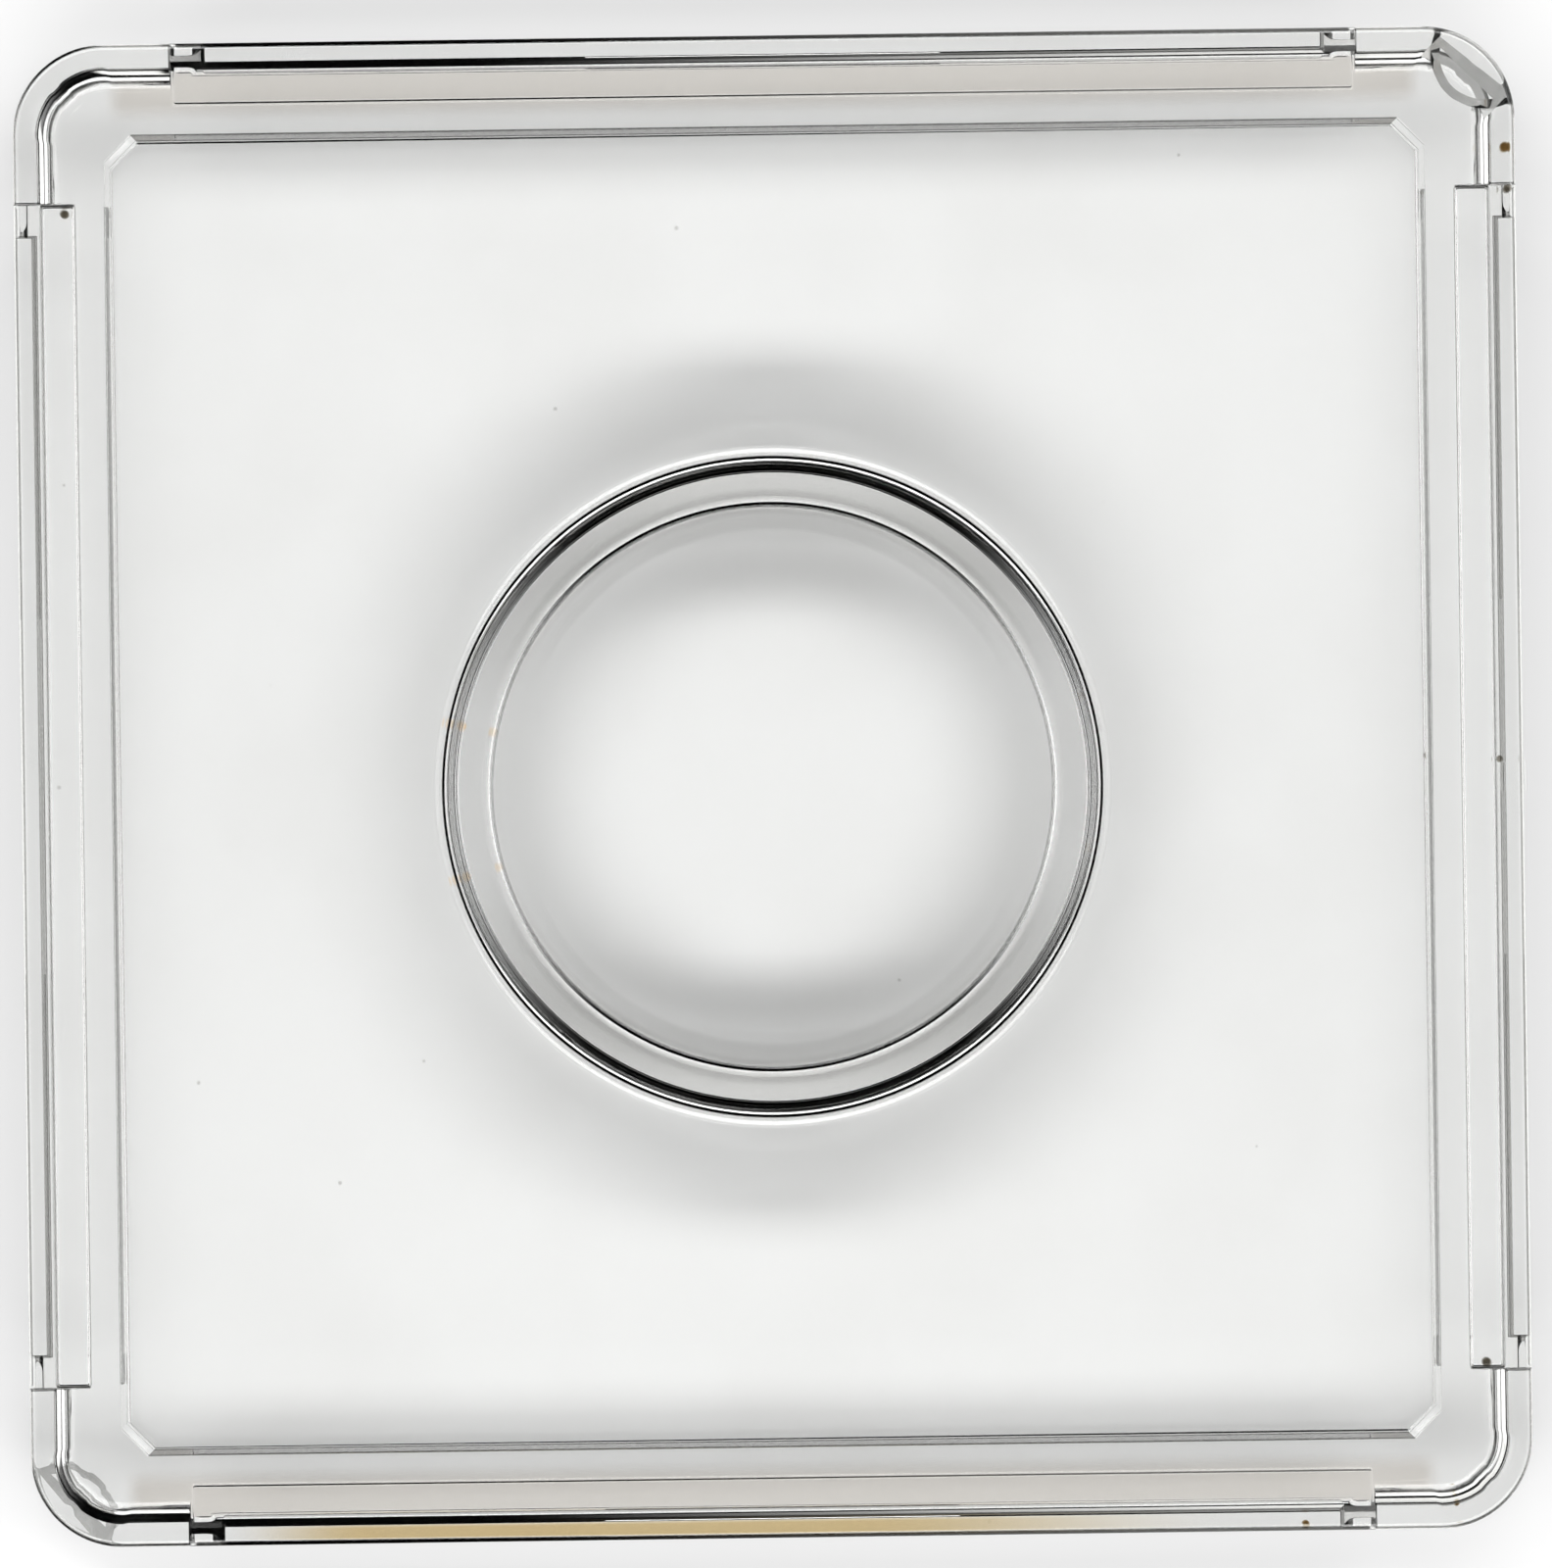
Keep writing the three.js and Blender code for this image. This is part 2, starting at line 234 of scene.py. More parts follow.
@dataclass(frozen=True)
class RingProfile:
    """The coin ring and its seat: a section turned about the Z axis by geometry nodes."""

    well_radius: float
    ring_radius: float
    seat: float
    plate: float
    top: float
    foot: float = 0.9
    lead: float = 0.25
    lead_rise: float = 0.12
    edge: float = 0.07
    seat_edge: float = 0.14
    embed: float = 0.25
    draft: float = 0.08
    steps: int = 192
    round_steps: int = 8

    def corners(self) -> list[tuple[str, float, float, float]]:
        """The corners of the section.

        Returns:
            For each corner a name, its distance from the axis, its height and the radius of its round.
        """
        lean = self.draft * (self.top - self.plate)
        reach = self.ring_radius + self.foot
        return [
            ("Axis foot", 0.0, self.plate - self.embed, 0.0),
            ("Skirt foot", reach + self.embed, self.plate - self.embed, 0.0),
            ("Skirt", reach + self.embed, self.plate, 0.0),
            ("Ring foot", self.ring_radius, self.plate, self.foot),
            ("Ring crown", self.ring_radius - lean, self.top, self.edge),
            ("Lead top", self.well_radius + self.lead, self.top, self.edge),
            ("Lead foot", self.well_radius + lean / 2, self.top - self.lead_rise, self.edge),
            ("Well corner", self.well_radius, self.seat, self.seat_edge),
            ("Axis seat", 0.0, self.seat, 0.0),
        ]

    def tree(self) -> bpy.types.NodeTree:
        """The node tree that rounds the section's corners and turns it about the axis.

        Returns:
            The tree. Its inputs are the corners, their rounds, the steps and the material.
        """
        tree = bpy.data.node_groups.new("coin_ring", "GeometryNodeTree")
        inputs = tree.interface
        inputs.new_socket("Geometry", in_out="INPUT", socket_type="NodeSocketGeometry")
        for name, *_ in self.corners():
            inputs.new_socket(name, in_out="INPUT", socket_type="NodeSocketVector")
        for name, *_ in self.corners():
            inputs.new_socket(f"{name} round", in_out="INPUT", socket_type="NodeSocketFloat")
        inputs.new_socket("Steps", in_out="INPUT", socket_type="NodeSocketInt")
        inputs.new_socket("Round steps", in_out="INPUT", socket_type="NodeSocketInt")
        inputs.new_socket("Material", in_out="INPUT", socket_type="NodeSocketMaterial")
        inputs.new_socket("Geometry", in_out="OUTPUT", socket_type="NodeSocketGeometry")
        graph = Graph(tree)
        given = graph.node("NodeGroupInput").outputs
        count = len(self.corners())
        index = graph.node("GeometryNodeInputIndex").outputs[0]
        place = graph.switch("VECTOR", index, [given[name] for name, *_ in self.corners()])
        rounds = graph.switch("FLOAT", index, [given[f"{name} round"] for name, *_ in self.corners()])
        line = graph.node("GeometryNodeMeshLine", values={"Count": count}).outputs[0]
        set_place = graph.node("GeometryNodeSetPosition", values={"Geometry": line, "Position": place})
        section = graph.node("GeometryNodeMeshToCurve", values={"Mesh": set_place.outputs[0]}).outputs[0]
        closed = graph.node("GeometryNodeSetSplineCyclic", values={"Geometry": section, "Cyclic": True})
        rounded = graph.node(
            "GeometryNodeFilletCurve", settings={"mode": "POLY"},
            values={"Curve": closed.outputs[0], "Radius": rounds, "Count": given["Round steps"]},
        )
        circle = graph.node(
            "GeometryNodeCurvePrimitiveCircle",
            values={"Resolution": given["Steps"], "Radius": self.well_radius},
        )
        swept = graph.node(
            "GeometryNodeCurveToMesh",
            values={"Curve": circle.outputs[0], "Profile Curve": rounded.outputs[0]},
        )
        merged = graph.node(
            "GeometryNodeMergeByDistance",
            values={"Geometry": swept.outputs[0], "Distance": MERGE_DISTANCE},
        )
        real = graph.node("GeometryNodeRealizeInstances", values={"Geometry": merged.outputs[0]})
        dressed = graph.node(
            "GeometryNodeSetMaterial",
            values={"Geometry": real.outputs[0], "Material": given["Material"]},
        )
        graph.node("NodeGroupOutput", values={"Geometry": dressed.outputs[0]})
        return tree

    def casting(self, material: bpy.types.Material) -> Casting:
        """The ring and its seat as a solid.

        Args:
            material: for its faces.

        Returns:
            The solid, which reaches a little into the plate under it.
        """
        holder = Casting(bpy.data.meshes.new("coin_ring"))
        modifier = holder.thing.modifiers.new("ring", "NODES")
        modifier.node_group = self.tree()
        values: dict[str, object] = {
            "Steps": self.steps, "Round steps": self.round_steps, "Material": material,
        }
        for name, radius, height, corner_round in self.corners():
            values[name] = (radius - self.well_radius, -height, 0.0)
            values[f"{name} round"] = corner_round
        for item in modifier.node_group.interface.items_tree:
            if item.item_type == "SOCKET" and item.in_out == "INPUT" and item.name in values:
                modifier[item.identifier] = values[item.name]
        holder.thing.data = settled(holder.thing)
        holder.thing.modifiers.clear()
        shape = bmesh.new()
        shape.from_mesh(holder.thing.data)
        bmesh.ops.remove_doubles(shape, verts=shape.verts, dist=MERGE_DISTANCE)
        bmesh.ops.recalc_face_normals(shape, faces=shape.faces)
        shape.to_mesh(holder.thing.data)
        shape.free()
        return holder


class Value:
    """A number that varies over a surface, with the operators of plain arithmetic."""

    def __init__(self, graph: "Graph", socket: bpy.types.NodeSocket) -> None:
        """Wraps a socket of a graph."""
        self.graph = graph
        self.socket = socket

    def _math(self, operation: str, *others: "Value | float") -> "Value":
        """A maths node on this value and the others."""
        return self.graph.math(operation, self, *others)

    def __add__(self, other: "Value | float") -> "Value":
        """This plus other."""
        return self._math("ADD", other)

    __radd__ = __add__

    def __mul__(self, other: "Value | float") -> "Value":
        """This times other."""
        return self._math("MULTIPLY", other)

    __rmul__ = __mul__

    def __sub__(self, other: "Value | float") -> "Value":
        """This less other."""
        return self._math("SUBTRACT", other)

    def __rsub__(self, other: "Value | float") -> "Value":
        """Other less this."""
        return self.graph.math("SUBTRACT", other, self)

    def above(self, limit: float) -> "Value":
        """One where this is over the limit, else zero."""
        return self._math("GREATER_THAN", limit)

    def below(self, limit: float) -> "Value":
        """One where this is under the limit, else zero."""
        return self._math("LESS_THAN", limit)

    def size(self) -> "Value":
        """This without its sign."""
        return self._math("ABSOLUTE")

    def ramp(self, low: float, high: float) -> "Value":
        """Zero at low, one at high, with soft ends.

        Args:
            low: where it starts.
            high: where it ends.

        Returns:
            The smoothed value.
        """
        node = self.graph.node(
            "ShaderNodeMapRange", settings={"interpolation_type": "SMOOTHSTEP"},
            values={"Value": self, "From Min": low, "From Max": high},
        )
        return Value(self.graph, node.outputs["Result"])


class Graph:
    """A node tree that is filled one node at a time."""

    def __init__(self, tree: bpy.types.NodeTree) -> None:
        """Takes the tree to fill."""
        self.tree = tree

    def node(
        self,
        kind: str,
        settings: dict[str, object] | None = None,
        values: dict[str | int, object] | None = None,
    ) -> bpy.types.Node:
        """Adds a node.

        Args:
            kind: its type.
            settings: its own settings, which are set first.
            values: what goes into its sockets, by name or place: numbers, sockets or Values.

        Returns:
            The node.
        """
        node = self.tree.nodes.new(kind)
        for name, setting in (settings or {}).items():
            setattr(node, name, setting)
        for name, value in (values or {}).items():
            socket = node.inputs[name]
            value = value.socket if isinstance(value, Value) else value
            if isinstance(value, bpy.types.NodeSocket):
                self.tree.links.new(value, socket)
            else:
                socket.default_value = value
        return node

    def math(self, operation: str, *values: "Value | float") -> Value:
        """A maths node on up to three values."""
        node = self.node("ShaderNodeMath", {"operation": operation}, dict(enumerate(values)))
        return Value(self, node.outputs[0])

    def switch(
        self, kind: str, index: bpy.types.NodeSocket, choices: list[bpy.types.NodeSocket],
    ) -> bpy.types.NodeSocket:
        """Picks one of several sockets by an index.

        Args:
            kind: VECTOR or FLOAT.
            index: the index's socket.
            choices: the sockets to pick from.

        Returns:
            The picked value's socket.
        """
        node = self.node("GeometryNodeIndexSwitch", {"data_type": kind})
        while len(node.index_switch_items) < len(choices):
            node.index_switch_items.new()
        self.tree.links.new(index, node.inputs[0])
        for socket, choice in zip(node.inputs[1:], choices):
            self.tree.links.new(choice, socket)
        return node.outputs[0]

    def mix(self, factor: Value | float, first: object, second: object) -> bpy.types.NodeSocket:
        """A mix of two colours.

        Args:
            factor: the share of the second.
            first: a colour or a socket.
            second: a colour or a socket.

        Returns:
            The mixed colour's socket.
        """
        node = self.node(
            "ShaderNodeMix", {"data_type": "RGBA"},
            {"Factor": factor, FIRST_COLOUR: first, SECOND_COLOUR: second},
        )
        return node.outputs[2]

    def blend(
        self, factor: Value | float, first: bpy.types.NodeSocket, second: bpy.types.NodeSocket,
    ) -> bpy.types.NodeSocket:
        """A mix of two shaders.

        Args:
            factor: the share of the second.
            first: a shader's socket.
            second: a shader's socket.

        Returns:
            The mixed shader's socket.
        """
        return self.node("ShaderNodeMixShader", values={0: factor, 1: first, 2: second}).outputs[0]


class Place:
    """Where a surface is in its object."""

    def __init__(self, graph: Graph) -> None:
        """Adds the nodes that find the place.

        Args:
            graph: the material's graph.
        """
        self.graph = graph
        self.vector = graph.node("ShaderNodeTexCoord").outputs["Object"]
        self.parts = graph.node("ShaderNodeSeparateXYZ", values={0: self.vector}).outputs

    def along(self, axis: str) -> Value:
        """The place along X or Y, in millimetres."""
        return Value(self.graph, self.parts[axis]) * (1.0 / MILLIMETRE)

    def radius(self) -> Value:
        """The distance from the middle, in millimetres."""
        length = self.graph.node("ShaderNodeVectorMath", {"operation": "LENGTH"}, {0: self.vector})
        return Value(self.graph, length.outputs["Value"]) * (1.0 / MILLIMETRE)


@dataclass(frozen=True)
class Band:
    """A stretch with soft ends: it starts over one span and stops over another, or is open at one end."""

    start: Span | None = None
    stop: Span | None = None

    def mask(self, value: Value) -> Value:
        """One inside the band, zero outside.

        Args:
            value: what the band is measured along.

        Returns:
            The mask.
        """
        if self.start is None:
            return 1.0 - value.ramp(*self.stop)
        rise = value.ramp(*self.start)
        return rise if self.stop is None else rise * (1.0 - value.ramp(*self.stop))


@dataclass(frozen=True)
class RoundPatch:
    """A small round patch of colour on the plastic, its place and radius in millimetres.

    Some patches are flecks of dirt, and some are painted light or shade.
    """

    x: float
    y: float
    radius: float
    colour: Colour
    soft: float = 0.3

    def mask(self, place: Place) -> Value:
        """One on the mark, zero outside it.

        Args:
            place: where the surface is.

        Returns:
            The mask.
        """
        dx, dy = place.along("X") - self.x, place.along("Y") - self.y
        area = self.radius * self.radius
        return 1.0 - (dx * dx + dy * dy).ramp(self.soft * area, area)


BROWN: Colour = (0.4, 0.3, 0.17, 1.0)
UMBER: Colour = (0.3, 0.28, 0.24, 1.0)
# A painted fringe of coloured light.
AMBER_FRINGE: Colour = (1.0, 0.78, 0.55, 1.0)
# Painted shade, used on the pry notches.
NOTCH_SHADE: Colour = (0.28, 0.28, 0.27, 1.0)


@dataclass(frozen=True)
class ClearPlastic:
    """Clear moulded polystyrene, with painted shade on the steep part of its rounds.

    The faces let nearly all of the lamps' rays straight through, as thin clear sheets do. The edges hold
    some back and the ring most, so that they cast soft shadows on the floor. The bands and patches say
    where on the holder a tint, painted shade or painted light lies, in millimetres from its middle.
    """

    tint: Colour = (0.985, 0.988, 0.982, 1.0)
    # Painted shade: nearly black on steep rounds that face along Y, faint grey on those along X.
    dark_shade: Colour = (0.03, 0.03, 0.027, 1.0)
    faint_shade: Colour = (0.86, 0.86, 0.85, 1.0)
    # Painted shade along the rails, warm in hue.
    rail_shade: Colour = (0.87, 0.855, 0.83, 1.0)
    # Painted shade on the coin ring's tops, strongest towards -Y and +Y.
    ring_shade: Colour = (0.8, 0.8, 0.79, 1.0)
    # A painted golden fringe of coloured light along part of the -Y tab.
    gold_fringe: Colour = (0.86, 0.76, 0.56, 1.0)
    ior: float = 1.58
    roughness: float = 0.0
    edge_roughness: float = 0.08
    face_shadow: float = 0.97
    edge_shadow: float = 0.75
    ring_shadow: float = 0.2
    cloud_tint: Colour = (0.968, 0.97, 0.963, 1.0)
    cloud_scale: float = 160.0
    cloud_detail: float = 3.0
    cloud_edge: Span = (0.4, 0.7)
    dust_tint: Colour = (0.6, 0.59, 0.57, 1.0)
    dust_scale: float = 420.0
    dust_size: Span = (0.018, 0.04)
    dust_chance: float = 0.72  # the share of dust cells that stay empty
    marks_and_fringes: tuple[RoundPatch, ...] = (
        RoundPatch(25.07, 21.3, 0.2, BROWN), RoundPatch(25.13, 19.9, 0.16, UMBER), RoundPatch(17.7, -25.2, 0.15, BROWN),
        RoundPatch(22.8, -24.5, 0.12, BROWN), RoundPatch(-23.7, 19.7, 0.17, UMBER), RoundPatch(23.9, -19.8, 0.18, UMBER),
        RoundPatch(22.2, 0.75, 0.14, UMBER), RoundPatch(24.6, 0.6, 0.14, UMBER),
        # The two amber patches are painted fringes of coloured light beside the coin ring.
        RoundPatch(-10.5, 2.2, 0.2, AMBER_FRINGE), RoundPatch(-10.4, -2.9, 0.2, AMBER_FRINGE),
    )
    # Where the rails' painted shade lies.
    rail_across: Band = Band((22.7, 23.5), (24.35, 24.5))  # across is along Y here, and along is X
    rail_along: Band = Band(stop=(21.6, 22.4))
    # Where the golden fringe of light is painted.
    tab_across: Band = Band((24.75, 24.9), (25.2, 25.35))
    tab_along: Band = Band((-19.0, -14.0), (2.0, 16.0))
    # Where the ring's painted shade lies: across its tops, growing away from the X axis.
    ring_across: Band = Band((9.7, 9.9), (10.9, 11.1))
    ring_away: Span = (2.0, 8.0)
    lip_across: Band = Band((23.0, 23.1), (23.7, 23.8))
    lip_along: Band = Band(stop=(19.9, 20.0))
    post_across: Band = Band((23.0, 23.1))
    post_along: Band = Band((19.8, 19.9), (22.2, 23.2))
    # Grey shade painted over the pry notches.
    notches: tuple[RoundPatch, ...] = (RoundPatch(24.4, 24.4, 1.9, NOTCH_SHADE, 0.9), RoundPatch(-24.4, -24.4, 1.9, NOTCH_SHADE, 0.9))
    # The steep part of a round, where shade is painted, and the facing that darkens the painted shade.
    steep: Band = Band((0.08, 0.2), (0.74, 0.8))  # along the normal's Z
    facing_y: Span = (0.1, 0.8)  # along the normal's Y

    def material(self, facing: Facing) -> bpy.types.Material:
        """The material of one kind of surface.

        Args:
            facing: the kind of surface.

        Returns:
            The material.
        """
        name = f"clear_{facing.name.lower()}"
        if name in bpy.data.materials:
            return bpy.data.materials[name]
        material = bpy.data.materials.new(name)
        material.use_nodes = True
        material.node_tree.nodes.clear()
        graph = Graph(material.node_tree)
        colours = {
            Facing.FACE: self.face_colour, Facing.EDGE: self.round_colour, Facing.RING: self.dust_and_fringe_colour,
        }
        colour = colours[facing](graph)
        rough = self.edge_roughness if facing is Facing.EDGE else self.roughness
        glass = graph.node(
            "ShaderNodeBsdfPrincipled",
            values={
                "Base Color": colour, "Roughness": rough, "IOR": self.ior, "Transmission Weight": 1.0,
            },
        ).outputs[0]
        shadow = Value(graph, graph.node("ShaderNodeLightPath").outputs["Is Shadow Ray"])
        share = {
            Facing.FACE: self.face_shadow, Facing.EDGE: self.edge_shadow, Facing.RING: self.ring_shadow,
        }[facing]
        through = graph.node("ShaderNodeBsdfTransparent", values={"Color": (share, share, share, 1.0)})
        surface = graph.blend(shadow, glass, through.outputs[0])
        graph.node("ShaderNodeOutputMaterial", values={"Surface": surface})
        return material

    def face_colour(self, graph: Graph) -> bpy.types.NodeSocket:
        """The faces' colour: clear, but with warm painted shade along the rails, a painted golden fringe of
        light along one tab and grey painted shade on the ring.

        Args:
            graph: the material's graph.

        Returns:
            The colour's socket.
        """
        place = Place(graph)
        x, y = place.along("X"), place.along("Y")
        # Warm painted shade along the rails.
        rail = self.rail_across.mask(y.size()) * self.rail_along.mask(x.size())
        # A painted golden fringe of coloured light along part of the -Y tab.
        gold = self.tab_across.mask(y * -1.0) * self.tab_along.mask(x)
        # Grey painted shade on the ring's tops, strongest towards -Y and +Y.
        ring = self.ring_across.mask(place.radius()) * y.size().ramp(*self.ring_away)
        rail_shaded = graph.mix(rail, self.dust_and_fringe_colour(graph), self.rail_shade)
        ring_shaded = graph.mix(ring, rail_shaded, self.ring_shade)
        return graph.mix(gold, ring_shaded, self.gold_fringe)

    def round_colour(self, graph: Graph) -> bpy.types.NodeSocket:
        """The colour of the edges: clear on upright walls, with painted shade on the steep part of their
        rounds.

        The painted shade is nearly black on rounds that face along Y and faintly grey on those that face
        along X. The rails' lips and the posts beside the corners stay clear, and grey shade is painted on
        the pry notches.

        Args:
            graph: the material's graph.

        Returns:
            The colour's socket.
        """
        normal = graph.node("ShaderNodeTexCoord").outputs["Normal"]
        parts = graph.node("ShaderNodeSeparateXYZ", values={0: normal}).outputs
        # Painted shade on the steep part of each round, darkest where the round faces along Y.
        steep = self.steep.mask(Value(graph, parts["Z"]).size())
        shade = graph.mix(Value(graph, parts["Y"]).size().ramp(*self.facing_y), self.faint_shade, self.dark_shade)
        place = Place(graph)
        x, y = place.along("X"), place.along("Y")
        lip = self.lip_across.mask(y.size()) * self.lip_along.mask(x.size())
        post = self.post_across.mask(y.size()) * self.post_along.mask(x.size())
        shade_share = steep * (1.0 - lip) * (1.0 - post)
        colour = graph.mix(shade_share, self.dust_and_fringe_colour(graph), shade)
        # Grey painted shade over the pry notches.
        for notch in self.notches:
            colour = graph.mix(notch.mask(place), colour, notch.colour)
        return colour

    def dust_and_fringe_colour(self, graph: Graph) -> bpy.types.NodeSocket:
        """The colour of clean surfaces: clear, faintly clouded, with dust, the flecks of a used holder and
        two painted amber fringes of light beside the coin ring.

        Args:
            graph: the material's graph.

        Returns:
            The colour's socket.
        """
        place = Place(graph)
        noise = graph.node("ShaderNodeTexNoise", values={
            "Vector": place.vector, "Scale": self.cloud_scale, "Detail": self.cloud_detail,
        })
        cloud = Value(graph, noise.outputs["Fac"]).ramp(*self.cloud_edge)
        cells = graph.node(
            "ShaderNodeTexVoronoi", values={"Vector": place.vector, "Scale": self.dust_scale},
        ).outputs
        chance = Value(graph, graph.node("ShaderNodeSeparateColor", values={0: cells["Color"]}).outputs[0])
        dust = (1.0 - Value(graph, cells["Distance"]).ramp(*self.dust_size)) * chance.above(self.dust_chance)
        colour = graph.mix(dust, graph.mix(cloud, self.tint, self.cloud_tint), self.dust_tint)
        # Flecks of dirt, and the painted amber fringes of light.
        for spot in self.marks_and_fringes:
            colour = graph.mix(spot.mask(place), colour, spot.colour)
        return colour


@dataclass
class ClearHalf:
    """One half of the holder: a tray with its coin ring, tabs, rails, ridges and pry notches."""

    half: Half
    notch_turn: float
    gate_turn: float
    placement: Matrix
    finish: ClearPlastic = field(default_factory=ClearPlastic)
    side: float = 50.8
    thickness: float = 4.8
    corner_radius: float = 3.1
    edge_round: float = 0.25
    plate: float = 1.3
    panel_inset: float = 3.1
    panel_depth: float = 0.3
    panel_slope: float = 0.16
    panel_corner: float = 0.9
    panel_round: float = 0.08
    wall: float = 0.8
    wall_fillet: float = 0.8
    draft: float = 0.03
    mating_play: float = 0.02
    well_radius: float = 9.575
    well_floor: float = 1.6
    ring_wall: float = 1.165
    ring_parting: float = 0.06
    ring_reach: float = 12.0
    window_length: float = 40.1
    tab_length: float = 38.0
    tab_thickness: float = 0.62
    tab_draft: float = 0.045
    tab_root: float = 0.45
    tab_end_gap: float = 0.1
    rail_set: float = 0.95
    rail_root: float = 0.1
    rail_thickness: float = 1.05
    rail_rise: float = 0.7
    rail_draft: float = 0.01
    ridge_length: float = 12.0
    ridge_height: float = 0.11
    ridge_width: float = 0.36
    ridge_from_tip: float = 0.35
    ridge_play: float = 0.04
    notch_radius: float = 1.8
    notch_inset: float = 1.0
    notch_sink: float = 0.2
    notch_bevel: float = 0.3
    notch_steps: int = 72
    ramp_inset: float = 33.65
    ramp_length: float = 3.0
    ramp_depth: Span = (0.37, 0.17)
    ramp_slope: float = 1.5
    relief_inset: float = 0.6
    relief_depth: float = 0.2
    gate_width: float = 1.0
    gate_height: float = 0.8
    gate_proud: float = 0.1
    gate_round: float = 0.04
    fine_round: float = 0.06
    corner_excess: float = 1.01
    flat: float = 0.9
    corner_steps: int = 20
    round_steps: int = 6
    fine_steps: int = 3
    ridge_steps: int = 8
    embed: float = 0.25
    overcut: float = 1.0

    @property
    def edge(self) -> float:
        """Half the side."""
        return self.side / 2

    @property
    def parting(self) -> float:
        """The height at which the two halves meet."""
        return self.thickness / 2

    @property
    def tab_tip(self) -> float:
        """The height of the tabs' tips."""
        return self.thickness - self.plate - self.tab_end_gap

    @property
    def rail_top(self) -> float:
        """The height of the rails."""
        return self.parting + self.rail_rise

    def square(self, inset: float) -> list[Point]:
        """The outline, drawn in by an inset, with its round corners."""
        half = self.edge - inset
        return rounded_rectangle(half, half, self.corner_radius - inset, self.corner_steps)

    def block(self) -> Casting:
        """The block that the tray is cut from, with its outer edge rounded."""
        small = self.edge_round
        round_ = arc(small, small, small, -QUARTER_TURN, -math.pi, self.round_steps)
        levels = [(z, self.square(inset)) for inset, z in round_]
        return Casting.loft([*levels, (self.parting - self.mating_play, self.square(0))])

    def hollow(self) -> Casting:
        """The hollow inside the walls, with a round at its foot."""
        foot = arc(
            self.wall + self.wall_fillet, self.plate + self.wall_fillet, self.wall_fillet,
            -QUARTER_TURN, -math.pi, self.round_steps,
        )
        mouth = self.parting + self.overcut
        rise = mouth - self.plate - self.wall_fillet
        levels = [(z, self.square(inset)) for inset, z in foot]
        return Casting.loft([*levels, (mouth, self.square(self.wall - self.draft * rise))])

    def panel(self) -> Casting:
        """The sunk panel on the outside of the plate, with small rounds along its step."""
        half, small = self.edge - self.panel_inset, self.panel_round
        lip = arc(half + small, small, small, QUARTER_TURN + math.pi, math.pi, self.fine_steps)
        root_x = half - self.panel_slope
        root = arc(root_x - small, self.panel_depth - small, small, 0, QUARTER_TURN, self.fine_steps)
        levels = [(-self.overcut, half + small), *[(z, x) for x, z in lip], *[(z, x) for x, z in root]]
        return Casting.loft([(z, cut_corner_square(x, self.panel_corner)) for z, x in levels])

    def window(self) -> Casting:
        """The window in the wall on the +X side, with small rounds at its ends."""
        inner = self.edge - self.wall - self.wall_fillet
        outer = self.edge + self.overcut
        half, small = self.window_length / 2, self.fine_round
        foot = arc(half - small, self.plate + small, small, -QUARTER_TURN, 0, self.fine_steps)
        lean = self.draft * (self.parting - self.plate)
        top = self.parting - self.mating_play
        lip = arc(half + lean + small, top - small, small, math.pi, QUARTER_TURN, self.fine_steps)
        levels = [(z, y) for y, z in [*foot, *lip, (half + lean + small, top + self.overcut)]]
        return Casting.loft([
            (z, [(inner, -y), (outer, -y), (outer, y), (inner, y)]) for z, y in levels
        ])

    def bar(
        self, half_length: float, inner: float, outer: float, top: float,
        lean_in: float, lean_out: float, root_in: float, root_out: float,
    ) -> Casting:
        """A bar along Y that rises from the plate, with its upper edges and its foot rounded.

        Args:
            half_length: half its length.
            inner: the place of its inner side at its foot.
            outer: the place of its outer side at its foot.
            top: the height of its top.
            lean_in: how far its inner side comes in towards its top.
            lean_out: how far its outer side comes in towards its top.
            root_in: the radius of the round at the foot of its inner side and its ends.
            root_out: the radius of the round at the foot of its outer side.

        Returns:
            The bar.
        """
        small = self.fine_round
        quarter = [QUARTER_TURN * i / self.round_steps for i in range(self.round_steps + 1)]
        root = max(root_in, root_out)
        foot = [(-(1 - math.sin(a)), self.plate + root * (1 - math.cos(a))) for a in quarter]
        crown = [(small * (1 - math.cos(a)), top - small + small * math.sin(a)) for a in quarter]
        levels: list[Level] = []
        for spread, z in [(-1.0, self.plate - self.embed), *foot, *crown]:
            share = (z - self.plate) / (top - self.plate)
            in_, out = (spread * root_in, spread * root_out) if spread <= 0 else (spread, spread)
            x0, x1 = inner + lean_in * share + in_, outer - lean_out * share - out
            reach = half_length - lean_in * share - in_
            corner = small * self.corner_excess - max(in_, 0)
            outline = rounded_rectangle((x1 - x0) / 2, reach, corner, self.fine_steps)
            levels.append((z, moved(outline, (x0 + x1) / 2, 0)))
        return Casting.loft(levels)

    def tab(self) -> Casting:
        """The thin tab in the +Y window, which closes over the other half's rail."""
        lean = self.tab_draft * (self.tab_tip - self.plate)
        bar = self.bar(
            self.tab_length / 2, self.edge - self.tab_thickness - lean, self.edge,
            self.tab_tip, lean, 0.0, self.tab_root, 0.0,
        )
        return bar.place(turn(QUARTER_TURN))

